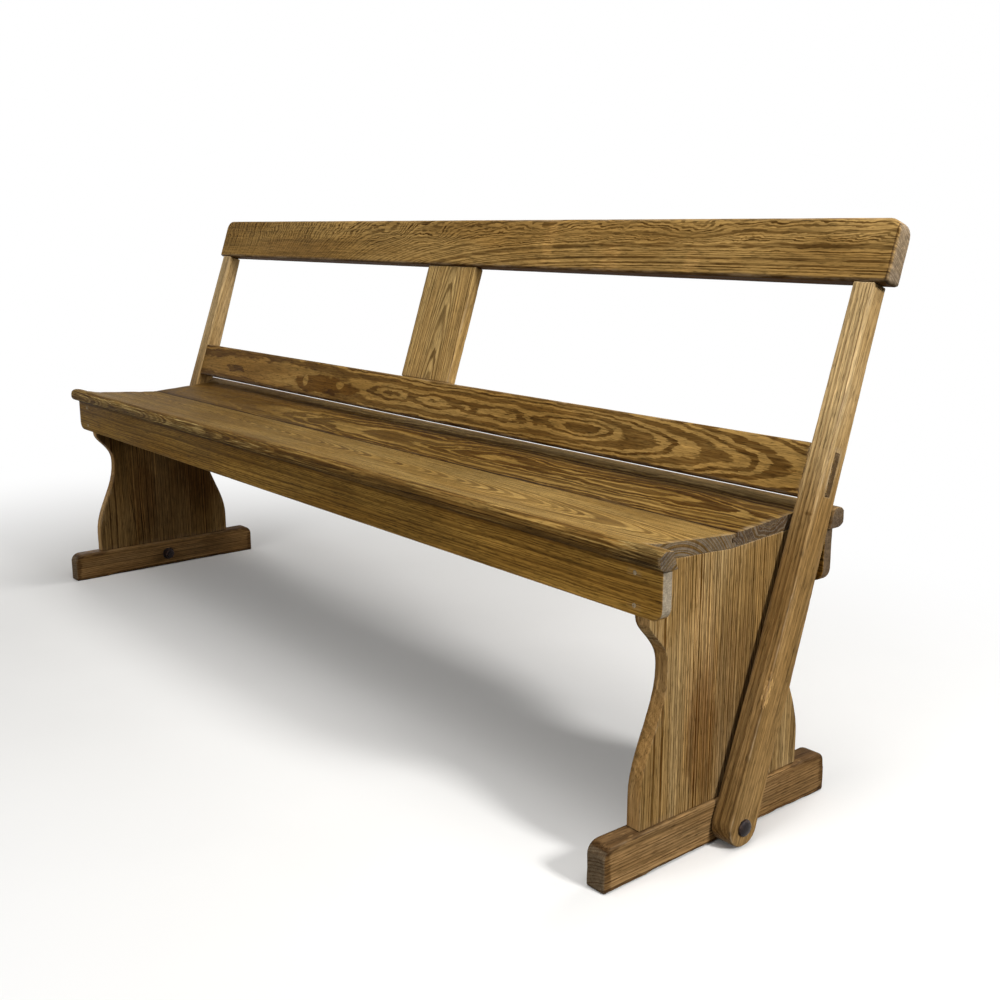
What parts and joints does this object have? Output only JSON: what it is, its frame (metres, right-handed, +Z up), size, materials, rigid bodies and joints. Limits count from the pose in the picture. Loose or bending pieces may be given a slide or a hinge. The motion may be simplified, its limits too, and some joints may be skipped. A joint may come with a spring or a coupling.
{
  "type": "chapel bench",
  "caption": "Long pine chapel bench with waisted ends on sled feet, a dished seat and an open slatted back that swings over on foot bolts to face either way.",
  "frame": {"origin": "on the floor, under the middle of the box round the whole bench with its back at rest", "axes": "+X along the bench to the sitter's left as seen from the front (right in the picture), +Y from the front to the back that the rest leans over, +Z up"},
  "size_m": [1.923, 0.5071, 0.8342],
  "materials": {
    "panel_pine": "old waxed pitch pine",
    "foot_pine": "old waxed pitch pine",
    "apron_pine": "old waxed pitch pine",
    "seat_pine": "old waxed pitch pine",
    "block_pine": "sawn, unfinished",
    "arm_pine": "old waxed pitch pine",
    "rail_pine": "old waxed pitch pine",
    "slat_pine": "old waxed pitch pine",
    "dark_iron": "dark, oiled"
  },
  "bodies": {
    "frame": {"apron_back": "apron_pine", "apron_front": "apron_pine", "apron_nail_back_left_lower": "dark_iron", "apron_nail_back_left_upper": "dark_iron", "apron_nail_back_right_lower": "dark_iron", "apron_nail_back_right_upper": "dark_iron", "apron_nail_front_left_lower": "dark_iron", "apron_nail_front_left_upper": "dark_iron", "apron_nail_front_right_lower": "dark_iron", "apron_nail_front_right_upper": "dark_iron", "end_panel_left": "panel_pine", "end_panel_right": "panel_pine", "foot_left": "foot_pine", "foot_right": "foot_pine", "glue_block_back_1": "block_pine", "glue_block_back_2": "block_pine", "glue_block_back_3": "block_pine", "glue_block_front_1": "block_pine", "glue_block_front_2": "block_pine", "glue_block_front_3": "block_pine", "pivot_bolt_left": "dark_iron", "pivot_bolt_right": "dark_iron", "pivot_nut_left": "dark_iron", "pivot_nut_right": "dark_iron", "pivot_spacer_left": "dark_iron", "pivot_spacer_right": "dark_iron", "pivot_washer_left": "dark_iron", "pivot_washer_right": "dark_iron", "seat_board_back": "seat_pine", "seat_board_front": "seat_pine"},
    "back": {"back_arm_left": "arm_pine", "back_arm_right": "arm_pine", "top_rail": "rail_pine", "lower_rail": "rail_pine", "centre_slat": "slat_pine"}
  },
  "joints": [
    {"name": "back_swing", "type": "hinge", "parent": "frame", "child": "back", "pos_m": [0, -0.02567, 0.03], "axis": [1, 0, 0], "range_deg": [0, 36.78]}
  ]
}
